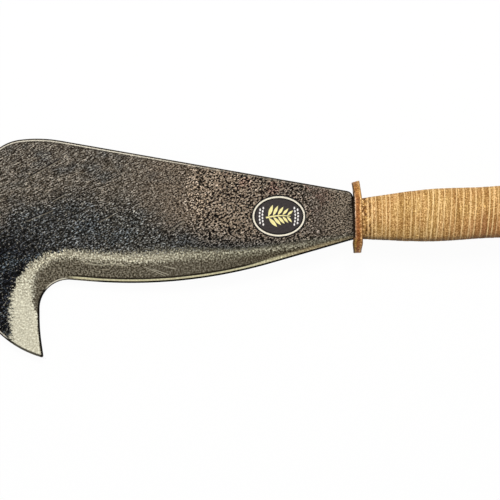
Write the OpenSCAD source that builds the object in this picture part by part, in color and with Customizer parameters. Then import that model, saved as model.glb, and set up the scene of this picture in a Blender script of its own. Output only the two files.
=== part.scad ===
// Italian-pattern billhook with a stacked leather grip, in millimetres.
// It lies on its side, as it does on a bench: its front and a flat of the
// guard touch Z = 0. +X runs along the grip to the pommel, +Y to the spine.

/* [Blade outline] */
// Height of the heel above the tang's axis
heel_top = 18.4; // [14:0.1:22]
// Depth of the heel below the tang's axis
heel_drop = 13.5; // [10:0.1:16]
// Radius of the heel's upper corner
heel_r = 4.5; // [1:0.5:6]
// Angle between the spine and the tang's axis
spine_angle = 12.85; // [9:0.05:15]
// Length of the spine's line, from the heel to the crown
spine_len = 211.2; // [190:0.1:235]
// Turn of the outline at the crown
crown_turn = 16.7; // [12:0.1:22]
// Radius of the crown
crown_r = 91; // [60:1:120]
// From the crown to the corner of the nose
nose_len = 32.5; // [30:0.1:45]
// Turn of the outline at the nose
nose_turn = 62.2; // [55:0.1:70]
// Radius of the nose
nose_r = 31; // [20:1:40]
// From the corner of the nose to the corner of the rounded front
front_len = 62; // [55:0.1:70]
// Turn of the outline along the rounded front
front_turn = 32; // [25:0.1:36]
// Radius of the rounded front
front_r = 60; // [40:1:90]
// From the corner of the front to the corner of the chin
chin_len = 77.5; // [70:0.1:85]
// Turn of the outline at the chin
chin_turn = 65.5; // [60:0.1:72]
// Radius of the chin
chin_r = 69; // [45:1:80]
// Radius at the tip of the beak
tip_r = 1.2; // [0.6:0.1:2.5]

/* [Cutting edge] */
// Angle between the heel's stretch of edge and the tang's axis
belly_angle = 13.15; // [11:0.05:17]
// From the heel to the corner of the belly
belly_len = 119.8; // [106:0.1:134]
// Turn of the edge along the belly
belly_turn = 20.7; // [18:0.1:28]
// Radius of the belly
belly_r = 337; // [200:1:400]
// From the corner of the belly to the corner of the throat
throat_len = 96; // [80:0.1:105]
// Turn of the edge in the throat of the hook
throat_turn = 95.2; // [90:0.1:104]
// Radius of the throat
throat_r = 19.5; // [12:0.5:26]
// From the corner of the throat to the bend in the beak
beak_len = 35.8; // [28:0.1:44]
// Turn of the edge at the bend in the beak
beak_turn = 7.7; // [2:0.1:14]
// Radius of the bend in the beak
beak_r = 126; // [60:1:160]

/* [Grind] */
// Thickness of the blade at the shoulder
heel_t = 5; // [4:0.1:7]
// Thickness of the blade at the nose
nose_t = 3.8; // [3.4:0.1:4.8]
// Width of the ground bevel on the hook and the belly
bevel_w = 20; // [14:0.5:24]
// Width to which the bevel narrows at the heel
bevel_heel_w = 1.8; // [1:0.1:4]
// Length over which the bevel narrows, from the shoulder
bevel_fade = 110; // [70:1:150]
// Width of the steeper grind beside the edge
grind_w = 10.5; // [6:0.5:13]
// Width to which the steeper grind narrows at the tip of the beak
grind_tip_w = 2.2; // [1.5:0.1:6]
// Thickness where the steeper grind starts
grind_t = 3; // [2.2:0.1:3.3]
// Width of the honed strip along the edge
hone_w = 1.3; // [0.6:0.1:3]
// Thickness where the honed strip starts
hone_t = 0.9; // [0.5:0.1:1.6]
// Thickness left at the edge itself
edge_t = 0.3; // [0.2:0.05:0.45]

/* [Tang] */
// Width of the tang, in the plane of the blade
tang_w = 14; // [8:0.5:18]
// Thickness of the tang
tang_t = 4.4; // [3:0.1:6]
// Diameter of the riveting stub at the tang's end, as a share of the tang's thickness
stub_share = 0.95; // [0.7:0.01:1]
// Diameter of the hammered rivet head
head_d = 11; // [9.5:0.1:14]
// Height of the hammered rivet head
head_h = 2.4; // [1.5:0.1:3.5]
// Gap that the riveting leaves between the tang's end and the end plate
tang_gap = 0.8; // [0.3:0.1:2]
// Clearance around the tang and its stub
tang_clear = 0.1; // [0.05:0.05:0.3]

/* [Grip] */
// Length of the stack of grip washers
grip_len = 122; // [100:1:140]
// Number of grip washers
washer_count = 33; // [24:1:44]
// Share by which a washer may be thicker or thinner than the mean
washer_spread = 0.3; // [0:0.05:0.5]
// Height of the grip at the guard
grip_front_d = 27.5; // [25:0.1:33]
// Height of the grip at its swell
grip_swell_d = 35.6; // [33:0.1:40]
// Height of the grip at its waist
grip_waist_d = 34.6; // [31:0.1:38]
// Height of the grip at the pommel
grip_end_d = 39; // [34:0.1:43]
// From the guard to the swell
swell_at = 55; // [44:1:66]
// From the guard to the waist
waist_at = 83; // [72:1:92]
// Width of the grip's oval as a share of its height
grip_oval = 0.78; // [0.7:0.01:1]

/* [Guard and pommel] */
// Height of the guard washer
guard_d = 48.6; // [44:0.2:54]
// Thickness of the guard washer
guard_t = 5; // [3.5:0.1:7]
// Height of the guard's middle above the tang's axis
guard_rise = 1.5; // [0:0.1:2]
// Width of the guard's oval as a share of its height
guard_oval = 0.9; // [0.88:0.01:1]
// Width across the flats that are cut on the guard's oval, as a share of its height
guard_flat = 0.82; // [0.75:0.01:0.84]
// Height of the pommel washer
pommel_d = 46; // [42:0.2:54]
// Thickness of the pommel washer
pommel_t = 5; // [3.5:0.1:7]
// Chamfer on the rims of the guard and pommel washers
rim_chamfer = 0.7; // [0.3:0.1:1.2]
// Height of the steel end plate
plate_d = 26; // [20:0.5:32]
// Thickness of the steel end plate
plate_t = 2.5; // [1.5:0.1:4]

/* [Label] */
// Length of the oval label on the cheek
label_l = 37; // [30:0.5:42]
// Height of the oval label
label_h = 28.8; // [22:0.2:32]
// Thickness of the label
label_t = 0.2; // [0.1:0.05:0.4]
// From the shoulder to the label's middle
label_at = 49.5; // [44:0.5:60]
// Height of the label's middle above the tang's axis
label_up = 4.4; // [2:0.1:6]
// Turn of the label in the plane of the blade
label_turn = -3; // [-10:0.5:10]

/* [Hidden] */
$fn = 128;
// Largest distance between an outline's arc and its chords
chord_error = 0.03;
// How far cutting solids run past what they cut
run_out = 3;
// Depth of the tang's root inside the blade, and of the stub's root inside the tang
root = 10;
// Turn, from washer to washer, of the wave that their thicknesses follow
washer_turn = 68;
// Step that the joints between the washers fall on
joint_step = 0.05;
// Slope of the grip's outline where it leaves the guard and meets the pommel, as a share of the mean slope
end_slope = 1.2;
// Share by which the bevel's plane runs on past the cheek before its cutter turns up
bevel_past = 0.1;

steel = "#3b3936";
bright_steel = "#8d8a80";
leather = "#b88f58";
leather_rim = "#a9713c";
label_black = "#1d1b1a";

// Vector helpers
function dir(a) = [cos(a), sin(a)];
function left(v) = [-v.y, v.x];
function unit(v) = v / norm(v);
function angle(v) = atan2(v.y, v.x);
function wrap(a) = a - 360 * floor((a + 180) / 360);
function column(list, axis) = [for (p = list) p[axis]];
function sum(list, i = 0) = i < len(list) ? list[i] + sum(list, i + 1) : 0;

// Where the line through p along heading a meets the line through q along heading b
function meet(p, a, q, b) =
    let (n = left(dir(b)))
    p + dir(a) * ((q - p) * n) / (dir(a) * n);

// The outline's corners: two runs leave the heel, one along the spine and one
// along the edge, and their last lines meet at the tip
spine_heading = 180 - spine_angle;
crown_heading = spine_heading + crown_turn;
nose_heading = crown_heading + nose_turn;
front_heading = nose_heading + front_turn;
chin_heading = front_heading + chin_turn;
heel_upper = [0, heel_top];
crown = heel_upper + spine_len * dir(spine_heading);
nose = crown + nose_len * dir(crown_heading);
front = nose + front_len * dir(nose_heading);
chin = front + chin_len * dir(front_heading);

belly_heading = 180 + belly_angle;
throat_heading = belly_heading - belly_turn;
beak_heading = throat_heading + throat_turn;
tip_heading = beak_heading + beak_turn;
heel_lower = [0, -heel_drop];
belly = heel_lower + belly_len * dir(belly_heading);
throat = belly + throat_len * dir(throat_heading);
bend = throat + beak_len * dir(beak_heading);
tip = meet(bend, tip_heading, chin, chin_heading);

// Corner and radius, anticlockwise from the heel's upper corner
corners = [
    [heel_upper, heel_r], [crown, crown_r], [nose, nose_r], [front, front_r], [chin, chin_r],
    [tip, tip_r], [bend, beak_r], [throat, throat_r], [belly, belly_r], [heel_lower, edge_t]
];
bend_corner = 6;
belly_corner = 8;

function corner_point(i) = corners[(i + len(corners)) % len(corners)][0];
function side(i) = corner_point(i + 1) - corner_point(i);
function turn(i) = wrap(angle(side(i)) - angle(side(i - 1)));
function tangent(i) = corners[(i + len(corners)) % len(corners)][1] * tan(abs(turn(i)) / 2);
// A radius shrinks where its two tangent lengths don't fit on the sides
function fitted(i) = corners[i][1] * min(
    1,
    norm(side(i)) / (tangent(i) + tangent(i + 1)),
    norm(side(i - 1)) / (tangent(i) + tangent(i - 1))
);

// Points of the arc at a corner, each [x, y, heading]
function arc(i) =
    let (
        r = fitted(i),
        swing = turn(i),
        start = angle(side(i - 1)),
        bulge = sign(swing) * r,
        centre = corner_point(i) - dir(start) * r * tan(abs(swing) / 2) + left(dir(start)) * bulge,
        steps = max(2, ceil(abs(swing) / (2 * acos(1 - chord_error / r))))
    )
    [for (k = [0:steps])
        let (heading = start + swing * k / steps, p = centre - left(dir(heading)) * bulge)
        [p.x, p.y, heading]];

outline = [for (i = [0:len(corners) - 1]) for (p = arc(i)) [p.x, p.y]];
blade_len = -min(column(outline, 0));

// Half the blade's thickness at x: it tapers from the shoulder to the nose
cheek_slope = (heel_t - nose_t) / 2 / blade_len;
function half_t(x) = heel_t / 2 + x * cheek_slope;

// Stations along the edge from the tip to the heel, each [x, y, heading]
edge_corners = [for (i = [bend_corner:belly_corner]) each arc(i)];
tip_end = tip - run_out * dir(tip_heading + 180);
heel_end = heel_lower - run_out * dir(belly_heading);
stations = concat(
    [[tip_end.x, tip_end.y, tip_heading - 180]],
    edge_corners,
    [[heel_end.x, heel_end.y, belly_heading - 180]]
);

// Share of the way down the beak, from the belly's lowest point to the tip
beak_top = min(column(arc(belly_corner), 1));
function beak_share(y) = max(0, min(1, (beak_top - y) / (beak_top - tip.y)));

// Section of one side's bevel cutter at a station, as [distance in from the edge, height]
function bevel_section(s) =
    let (
        w = bevel_heel_w + (bevel_w - bevel_heel_w) * max(0, min(1, -s.x / bevel_fade)),
        f = w / bevel_w,
        g = grind_w + (grind_tip_w - grind_w) * beak_share(s.y),
        crease = edge_t / 2 + (grind_t - edge_t) / 2 * g / grind_w,
        top = half_t(s.x),
        rise = (top - crease) / (w - g * f),
        past = w * bevel_past
    )
    [
        [-run_out, heel_t], [-run_out, edge_t / 2], [0, edge_t / 2],
        [hone_w * f * g / grind_w, edge_t / 2 + (hone_t - edge_t) / 2 * g / grind_w],
        [g * f, crease], [w + past, top + past * rise], [w + past, heel_t]
    ];
function bevel_ring(s) =
    let (inward = left(dir(s[2])))
    [for (d = bevel_section(s)) [s.x + d[0] * inward.x, s.y + d[0] * inward.y, d[1]]];

stub_d = tang_t * stub_share;

// Places along the tang's axis
grip_x = guard_t;
pommel_x = grip_x + grip_len;
plate_x = pommel_x + pommel_t;
tang_end = plate_x - tang_gap;
rivet_x = plate_x + plate_t;
end_x = rivet_x + head_h;

// Joints between the grip washers, as distances from the guard
washer_share = [for (k = [1:washer_count]) 1 + washer_spread * sin(washer_turn * k * k)];
function joint_at(i) =
    let (share = sum([for (k = [0:1:i - 1]) washer_share[k]]) / sum(washer_share))
    joint_step * round(grip_len * share / joint_step);

// Height of the grip at a distance u from the guard
function ease(a, b, t, slope = 0) =
    a + (b - a) * (t * t * (3 - 2 * t) + slope * t * (1 - t) * (1 - t));
function grip_d(u) =
    u < swell_at ? ease(grip_front_d, grip_swell_d, u / swell_at, end_slope)
    : u < waist_at ? ease(grip_swell_d, grip_waist_d, (u - swell_at) / (waist_at - swell_at))
    : ease(grip_end_d, grip_waist_d, (grip_len - u) / (grip_len - waist_at), end_slope);

// How the tool lies: the front sinks until it touches what the guard's flat rests on
rest_r = guard_d * guard_flat / 2;
tilt = atan((rest_r - half_t(-blade_len)) / (blade_len + rim_chamfer));
lift = rest_r * cos(tilt) - rim_chamfer * sin(tilt);
middle_x = (end_x * cos(tilt) - blade_len * cos(tilt) - half_t(-blade_len) * sin(tilt)) / 2;
middle_y = (max(column(outline, 1)) + min(column(outline, 1))) / 2;

WASHERS = [for (i = [1:washer_count]) str("grip_washer_", i < 10 ? "0" : "", i)];

// Takes a piece from the blade's own frame, at the shoulder, to the bench
module lying() {
    translate([-middle_x, -middle_y, lift]) rotate([0, -tilt, 0]) children();
}

// Stands a piece that is drawn on the XY plane along the tang's axis at x
module on_tang(x) {
    translate([x, 0, 0]) rotate([0, 90, 0]) children();
}

// Closed solid through rings of points that have the same count, each seen whole from its first point
module loft(rings) {
    n = len(rings[0]);
    last = len(rings) - 1;
    sides = [for (k = [0:last - 1]) for (i = [0:n - 1])
        let (a = k * n + i, b = k * n + (i + 1) % n)
        each [[b, a, a + n], [b + n, b, a + n]]];
    near_cap = [for (i = [1:n - 2]) [0, i, i + 1]];
    far_cap = [for (i = [1:n - 2]) [last * n, last * n + i + 1, last * n + i]];
    polyhedron([for (r = rings) each r], concat(sides, near_cap, far_cap));
}

// Flat plate of the blade's outline, thinning from the shoulder to the nose
module blade_plate() {
    far = blade_len + run_out;
    intersection() {
        linear_extrude(height = 2 * heel_t, center = true) polygon(outline);
        rotate([90, 0, 0]) linear_extrude(height = 4 * blade_len, center = true) polygon([
            [0, half_t(0)], [-far, half_t(-far)], [-far, -half_t(-far)], [0, -half_t(0)]
        ]);
    }
}

module bevel_cutter() {
    loft([for (s = stations) bevel_ring(s)]);
}

// Tang, riveting stub and hammered head, along the tang's axis
module tang() {
    cap_r = (head_d * head_d / 4 + head_h * head_h) / (2 * head_h);
    translate([-root, -tang_w / 2, -tang_t / 2]) cube([tang_end + root, tang_w, tang_t]);
    on_tang(tang_end - root) cylinder(d = stub_d, h = rivet_x - tang_end + root);
    on_tang(rivet_x) intersection() {
        translate([0, 0, head_h - cap_r]) sphere(r = cap_r);
        cylinder(d = head_d + run_out, h = head_h + run_out);
    }
}

// Slot through a washer for the tang
module tang_slot() {
    size = [rivet_x + run_out, tang_w + 2 * tang_clear, tang_t + 2 * tang_clear];
    translate([-run_out, -size.y / 2, -size.z / 2]) cube(size);
}

// Right half of a washer's section: a plate of half width r with chamfered rims
function rim_section(r, t) = [
    [0, 0], [r - rim_chamfer, 0], [r, rim_chamfer], [r, t - rim_chamfer], [r - rim_chamfer, t], [0, t]
];

// Thick oval washer with two flats and chamfered rims
module rimmed_washer(d, t) {
    half = rim_section(d * guard_flat / 2, t);
    mirrored = [for (i = [len(half) - 2:-1:1]) [-half[i].x, half[i].y]];
    intersection() {
        scale([guard_oval, 1, 1]) rotate_extrude() polygon(rim_section(d / 2, t));
        rotate([90, 0, 0]) linear_extrude(height = 2 * d, center = true) polygon(concat(half, mirrored));
    }
}

module blade() {
    color(steel) lying() difference() {
        union() {
            blade_plate();
            tang();
        }
        bevel_cutter();
        mirror([0, 0, 1]) bevel_cutter();
    }
}

module guard_washer() {
    color(leather_rim) lying() difference() {
        translate([0, guard_rise, 0]) on_tang(0) rimmed_washer(guard_d, guard_t);
        tang_slot();
    }
}

module grip_washer(i) {
    near = joint_at(i - 1);
    far = joint_at(i);
    color(leather) lying() difference() {
        on_tang(grip_x + near) scale([grip_oval, 1, 1])
            cylinder(h = far - near, d1 = grip_d(near), d2 = grip_d(far));
        tang_slot();
    }
}

module pommel_washer() {
    color(leather_rim) lying() difference() {
        on_tang(pommel_x) rimmed_washer(pommel_d, pommel_t);
        tang_slot();
    }
}

module end_plate() {
    color(bright_steel) lying() on_tang(plate_x) difference() {
        scale([grip_oval, 1, 1]) cylinder(d = plate_d, h = plate_t);
        translate([0, 0, -run_out]) cylinder(d = stub_d + 2 * tang_clear, h = plate_t + 2 * run_out);
    }
}

module label() {
    color(label_black) lying()
        translate([-label_at, label_up, half_t(-label_at)]) rotate([0, -atan(cheek_slope), 0])
            rotate([0, 0, label_turn]) scale([label_l / label_h, 1, 1]) cylinder(d = label_h, h = label_t);
}

blade();
guard_washer();
for (i = [1:washer_count]) grip_washer(i);
pommel_washer();
end_plate();
label();
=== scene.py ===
import math

import bpy
import numpy as np
from mathutils import Matrix, Vector, noise
from mathutils.geometry import delaunay_2d_cdt


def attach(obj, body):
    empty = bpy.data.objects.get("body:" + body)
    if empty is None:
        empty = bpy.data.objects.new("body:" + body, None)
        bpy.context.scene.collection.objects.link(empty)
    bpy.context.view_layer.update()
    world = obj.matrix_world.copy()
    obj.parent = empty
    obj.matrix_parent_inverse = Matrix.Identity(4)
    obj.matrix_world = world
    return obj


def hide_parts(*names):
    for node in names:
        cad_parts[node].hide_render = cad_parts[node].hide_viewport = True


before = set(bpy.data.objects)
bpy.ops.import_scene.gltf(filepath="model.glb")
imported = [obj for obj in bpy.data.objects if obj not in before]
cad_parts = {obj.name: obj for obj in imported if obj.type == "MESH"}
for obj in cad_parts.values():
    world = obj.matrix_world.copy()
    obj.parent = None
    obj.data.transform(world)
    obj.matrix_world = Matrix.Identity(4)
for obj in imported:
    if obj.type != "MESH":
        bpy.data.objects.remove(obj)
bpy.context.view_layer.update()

# Sizes of the part, in millimetres and degrees, as its CAD source has them
HEEL_TOP, HEEL_DROP, HEEL_R = 18.4, 13.5, 4.5
SPINE_ANGLE, BELLY_ANGLE, TIP_R = 12.85, 13.15, 1.2
# Corners along the back and along the edge: length of the leg to each, turn and radius there
CROWN, NOSE, FRONT, CHIN = (211.2, 16.7, 91.0), (32.5, 62.2, 31.0), (62.0, 32.0, 60.0), (77.5, 65.5, 69.0)
BELLY, THROAT, BEAK = (119.8, -20.7, 337.0), (96.0, 95.2, 19.5), (35.8, 7.7, 126.0)
HEEL_T, NOSE_T = 5.0, 3.8
BEVEL_W, BEVEL_HEEL_W, BEVEL_FADE = 20.0, 1.8, 110.0
GRIND_W, GRIND_TIP_W, GRIND_T = 10.5, 2.2, 3.0
HONE_W, HONE_T, EDGE_T = 1.3, 0.9, 0.3
TANG_W, TANG_T, STUB_SHARE, TANG_GAP, TANG_CLEAR = 14.0, 4.4, 0.95, 0.8, 0.1
HEAD_D, HEAD_H = 11.0, 2.4
GRIP_LEN = 122.0
WASHER_COUNT = sum(name.startswith("grip_washer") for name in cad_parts)
GRIP_FRONT_D, GRIP_SWELL_D, GRIP_WAIST_D, GRIP_END_D = 27.5, 35.6, 34.6, 39.0
SWELL_AT, WAIST_AT, END_SLOPE, GRIP_OVAL = 55.0, 83.0, 1.2, 0.78
GUARD_D, GUARD_T, GUARD_RISE, GUARD_OVAL, GUARD_FLAT = 48.6, 5.0, 1.5, 0.9, 0.82
RIM_CHAMFER = 0.7
POMMEL_D, POMMEL_T = 46.0, 5.0
PLATE_D, PLATE_T = 26.0, 2.5
LABEL_L, LABEL_H, LABEL_T, LABEL_AT, LABEL_UP, LABEL_TURN = 37.0, 28.8, 0.2, 49.5, 4.4, -3.0
CHORD_ERROR = 0.01
MM = 0.001


def heading(degrees):
    """The unit vector at an angle."""
    angle = math.radians(degrees)
    return np.array([math.cos(angle), math.sin(angle)])


def turned_left(v):
    return np.array([-v[1], v[0]])


def meet(p, a, q, b):
    """Where the line through p along heading a meets the line through q along heading b."""
    across = turned_left(heading(b))
    return p + heading(a) * np.dot(q - p, across) / np.dot(heading(a), across)


def walk(point, way, legs):
    """Corner points and radii along a line of legs, and the heading after the last."""
    corners = []
    for length, turn, radius in legs:
        point = point + length * heading(way)
        corners.append((point, radius))
        way += turn
    return corners, way


def outline_corners():
    """Corner points and radii of the blade, anticlockwise from the heel's upper corner."""
    upper, lower = np.array([0.0, HEEL_TOP]), np.array([0.0, -HEEL_DROP])
    back, chin_way = walk(upper, 180 - SPINE_ANGLE, [CROWN, NOSE, FRONT, CHIN])
    edge, tip_way = walk(lower, 180 + BELLY_ANGLE, [BELLY, THROAT, BEAK])
    tip = meet(edge[-1][0], tip_way, back[-1][0], chin_way)
    return [(upper, HEEL_R), *back, (tip, TIP_R), *edge[::-1], (lower, EDGE_T)]


CORNERS = outline_corners()
TIP_CORNER, BELLY_CORNER = 5, 8


def corner_arc(i):
    """Points of the fillet at a corner."""
    before, (point, r), after = CORNERS[i - 1][0], CORNERS[i], CORNERS[(i + 1) % len(CORNERS)][0]
    start = math.degrees(math.atan2(*(point - before)[::-1]))
    end = math.degrees(math.atan2(*(after - point)[::-1]))
    swing = (end - start + 180) % 360 - 180
    bulge = math.copysign(r, swing)
    centre = point - heading(start) * r * math.tan(math.radians(abs(swing) / 2))
    centre = centre + turned_left(heading(start)) * bulge
    steps = max(2, math.ceil(abs(swing) / math.degrees(2 * math.acos(1 - CHORD_ERROR / r))))
    ways = [start + swing * k / steps for k in range(steps + 1)]
    return [centre - turned_left(heading(way)) * bulge for way in ways]


def refined(points, step):
    """The same line with no stretch longer than step."""
    out = [points[0]]
    for a, b in zip(points, points[1:]):
        pieces = max(1, math.ceil(np.linalg.norm(b - a) / step))
        out += [a + (b - a) * k / pieces for k in range(1, pieces + 1)]
    return out


ARCS = [corner_arc(i) for i in range(len(CORNERS))]
# Distance between the points of the blade's mesh
GRID = 0.9
BACK_LINE = np.array(refined([p for arc in ARCS[:TIP_CORNER] for p in arc] + ARCS[TIP_CORNER][:1], GRID))
EDGE_LINE = np.array(refined(ARCS[TIP_CORNER] + [p for arc in ARCS[TIP_CORNER + 1:] for p in arc], GRID))
OUTLINE = np.concatenate([BACK_LINE[:-1], EDGE_LINE])
OUTLINE_LOOP = np.concatenate([OUTLINE, OUTLINE[:1]])
BLADE_LEN = -OUTLINE[:, 0].min()
CHEEK_SLOPE = (HEEL_T - NOSE_T) / 2 / BLADE_LEN
GRIP_X = GUARD_T
POMMEL_X = GRIP_X + GRIP_LEN
PLATE_X = POMMEL_X + POMMEL_T
TANG_END = PLATE_X - TANG_GAP
RIVET_X = PLATE_X + PLATE_T
END_X = RIVET_X + HEAD_H


def half_t(x):
    """Half the blade's thickness at x: it tapers from the shoulder to the nose."""
    return HEEL_T / 2 + x * CHEEK_SLOPE


# How the tool lies: its front and a flat of the guard touch the bench
REST_R = GUARD_D * GUARD_FLAT / 2
TILT = math.atan((REST_R - half_t(-BLADE_LEN)) / (BLADE_LEN + RIM_CHAMFER))
LIFT = REST_R * math.cos(TILT) - RIM_CHAMFER * math.sin(TILT)
MIDDLE_X = ((END_X - BLADE_LEN) * math.cos(TILT) - half_t(-BLADE_LEN) * math.sin(TILT)) / 2
MIDDLE_Y = (OUTLINE[:, 1].max() + OUTLINE[:, 1].min()) / 2


def to_row(points):
    """From the blade's own frame, in millimetres, to the row frame, in metres."""
    p = np.asarray(points, float)
    x = p[:, 0] * math.cos(TILT) - p[:, 2] * math.sin(TILT) - MIDDLE_X
    z = p[:, 0] * math.sin(TILT) + p[:, 2] * math.cos(TILT) + LIFT
    return np.stack([x, p[:, 1] - MIDDLE_Y, z], 1) * MM


def smooth(low, high, value):
    """A soft step from 0 at low to 1 at high."""
    t = np.clip((value - low) / (high - low), 0, 1)
    return t * t * (3 - 2 * t)


def perlin(points, scale, seed):
    """Noise from about -1 to 1 at each point; scale is the size of a blob in millimetres."""
    shift = Vector((seed * 17.3, seed * 5.1, seed * 9.7))
    return np.array([noise.noise(Vector(p) / scale + shift) for p in points])


def srgb(red, green, blue):
    """A colour as it reads in a picture, 0 to 255, as the shader's linear one."""
    out = []
    for c in (red, green, blue):
        c /= 255
        out.append(c / 12.92 if c <= 0.04045 else ((c + 0.055) / 1.055) ** 2.4)
    return (*out, 1.0)


class Shader:
    """A material whose nodes are added one at a time."""

    def __init__(self, name):
        self.material = bpy.data.materials.new(name)
        self.material.use_nodes = True
        self.tree = self.material.node_tree
        self.surface = self.tree.nodes["Principled BSDF"]

    def link(self, value, socket):
        if isinstance(value, bpy.types.NodeSocket):
            self.tree.links.new(value, socket)
        else:
            socket.default_value = value

    def node(self, kind, inputs, out=0, **settings):
        made = self.tree.nodes.new("ShaderNode" + kind)
        for key, value in settings.items():
            setattr(made, key, value)
        for key, value in inputs.items():
            self.link(value, made.inputs[key])
        return made.outputs[out]

    def number(self, name):
        return self.node("Attribute", {}, "Fac", attribute_name=name)

    def vector(self, name):
        return self.node("Attribute", {}, "Vector", attribute_name=name)

    def math(self, operation, a, b=0.0, c=0.0):
        return self.node("Math", {0: a, 1: b, 2: c}, operation=operation)

    def times(self, a, b):
        return self.math("MULTIPLY", a, b)

    def plus(self, a, b):
        return self.math("ADD", a, b)

    def times_plus(self, a, b, c):
        return self.math("MULTIPLY_ADD", a, b, c)

    def stretch(self, vector, scale):
        return self.node("Mapping", {"Vector": vector, "Scale": scale})

    def along(self, vector, turn, length, width, middle=(0, 0, 0)):
        """Stretches what is drawn on a vector to length by width, along a heading in degrees."""
        inputs = {"Vector": vector, "Location": middle, "Rotation": (0, 0, math.radians(turn))}
        return self.node("Mapping", {**inputs, "Scale": (length, width, width)}, vector_type="TEXTURE")

    def noise(self, vector, scale, detail=4.0, rough=0.55, warp=0.0):
        inputs = {"Vector": vector, "Scale": scale, "Detail": detail, "Roughness": rough}
        return self.node("TexNoise", {**inputs, "Distortion": warp})

    def band(self, value, low, high, soft):
        """One between low and high, falling to nothing over soft on either side."""
        return self.times(self.ramp(value, low - soft, low), self.ramp(value, high + soft, high))

    def stroke(self, vector, start, end, width):
        """A thin straight scratch from one place to another."""
        run = np.subtract(end, start)
        middle = (*np.add(start, end) / 2, 0.0)
        local = self.along(vector, math.degrees(math.atan2(run[1], run[0])), 1, 1, middle)
        half = math.hypot(*run) / 2
        along, across = (self.math("ABSOLUTE", part) for part in self.split(local)[:2])
        return self.times(self.ramp(across, width, width * 0.3), self.ramp(along, half, half * 0.8))

    def split(self, vector):
        made = self.tree.nodes.new("ShaderNodeSeparateXYZ")
        self.link(vector, made.inputs[0])
        return made.outputs

    def stops(self, value, colours):
        """A colour ramp through (place, colour) pairs."""
        made = self.tree.nodes.new("ShaderNodeValToRGB")
        points = made.color_ramp.elements
        while len(points) < len(colours):
            points.new(0.5)
        for point, (at, colour) in zip(points, colours):
            point.position = at
            point.color = srgb(*colour)
        self.link(value, made.inputs[0])
        return made.outputs[0]

    def lit(self, colour, factor):
        return self.node("VectorMath", {0: colour, "Scale": factor}, operation="SCALE")

    def speckle(self, noise, strength, most=2.4):
        """A factor above one, up to most, where the noise is high and below one where it is low."""
        factor = self.math("EXPONENT", self.times(self.plus(noise, -0.5), strength))
        return self.math("MINIMUM", factor, most)

    def grain(self, colour, noise, strength, tint, most=2.4):
        """A colour made lighter and darker by a noise, by a share of strength for each channel."""
        factors = [self.speckle(noise, self.times(strength, share), most) for share in tint]
        factor = self.node("CombineXYZ", dict(enumerate(factors)))
        return self.node("VectorMath", {0: colour, 1: factor}, operation="MULTIPLY")

    def ramp(self, value, low, high, to_low=0.0, to_high=1.0):
        """A soft step from to_low to to_high, while the value goes from low to high."""
        inputs = {"Value": value, "From Min": low, "From Max": high, "To Min": to_low, "To Max": to_high}
        return self.node("MapRange", inputs, interpolation_type="SMOOTHSTEP")

    def mix(self, share, a, b):
        """A mix of two colours, each a socket or its red, green and blue in a picture."""
        made = self.tree.nodes.new("ShaderNodeMix")
        made.data_type = "RGBA"
        self.link(share, made.inputs[0])
        for colour, socket in ((a, made.inputs[6]), (b, made.inputs[7])):
            self.link(srgb(*colour) if isinstance(colour, tuple) else colour, socket)
        return made.outputs[2]

    def bump(self, height, strength, depth_mm, normal=None):
        inputs = {"Height": height, "Strength": strength, "Distance": depth_mm * MM}
        if normal is not None:
            inputs["Normal"] = normal
        return self.node("Bump", inputs)

    def finish(self, **inputs):
        for key, value in inputs.items():
            self.link(value, self.surface.inputs[key.replace("_", " ")])
        return self.material


def build(name, points, faces, materials, node, values, picks=None, sharp=40):
    """A piece of the part: points in the blade's frame, and values that its materials read."""
    mesh = bpy.data.meshes.new(name)
    mesh.from_pydata(to_row(points).tolist(), [], faces)
    for key, value in values.items():
        value = np.asarray(value, np.float32)
        kind, field = ("FLOAT_VECTOR", "vector") if value.ndim == 2 else ("FLOAT", "value")
        mesh.attributes.new(key, kind, "POINT").data.foreach_set(field, value.ravel())
    for material in materials:
        mesh.materials.append(material)
    if picks is not None:
        mesh.polygons.foreach_set("material_index", np.asarray(picks, np.int32))
    mesh.validate()
    mesh.shade_smooth()
    mesh.set_sharp_from_angle(angle=math.radians(sharp))
    piece = bpy.data.objects.new(name, mesh)
    bpy.context.scene.collection.objects.link(piece)
    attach(piece, "root")
    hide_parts(node)


# Points that are measured at a time
BLOCK = 2000


def nearest(points, line):
    """For each point its distance to an open line, the run along the line and the nearest place on it."""
    a, b = line[:-1], line[1:]
    along = b - a
    length = np.linalg.norm(along, axis=1)
    runs = np.concatenate([[0], np.cumsum(length)])
    found = []
    for start in range(0, len(points), BLOCK):
        p = points[start:start + BLOCK, None]
        t = np.clip(((p - a) * along).sum(2) / length ** 2, 0, 1)
        foot = a + t[:, :, None] * along
        gap = np.linalg.norm(p - foot, axis=2)
        best = gap.argmin(1)
        rows = np.arange(len(best))
        found.append((gap[rows, best], runs[best] + t[rows, best] * length[best], foot[rows, best]))
    return [np.concatenate(part) for part in zip(*found)]


def inside(points, loop):
    """Which points lie within a closed loop."""
    hit = np.zeros(len(points), bool)
    for (x1, y1), (x2, y2) in zip(loop, np.roll(loop, -1, 0)):
        if y1 == y2:
            continue
        spans = (y1 > points[:, 1]) != (y2 > points[:, 1])
        hit ^= spans & (points[:, 0] < (x2 - x1) * (points[:, 1] - y1) / (y2 - y1) + x1)
    return hit


BEAK_TOP = min(p[1] for p in ARCS[BELLY_CORNER])


def bevel_widths(place):
    """Widths of the bevel and its steeper grind beside a place on the edge, and that grind's share."""
    w = BEVEL_HEEL_W + (BEVEL_W - BEVEL_HEEL_W) * np.clip(-place[:, 0] / BEVEL_FADE, 0, 1)
    share = np.clip((BEAK_TOP - place[:, 1]) / (BEAK_TOP - CORNERS[TIP_CORNER][0][1]), 0, 1)
    g = GRIND_W + (GRIND_TIP_W - GRIND_W) * share
    return w, g * w / BEVEL_W, g / GRIND_W


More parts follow.
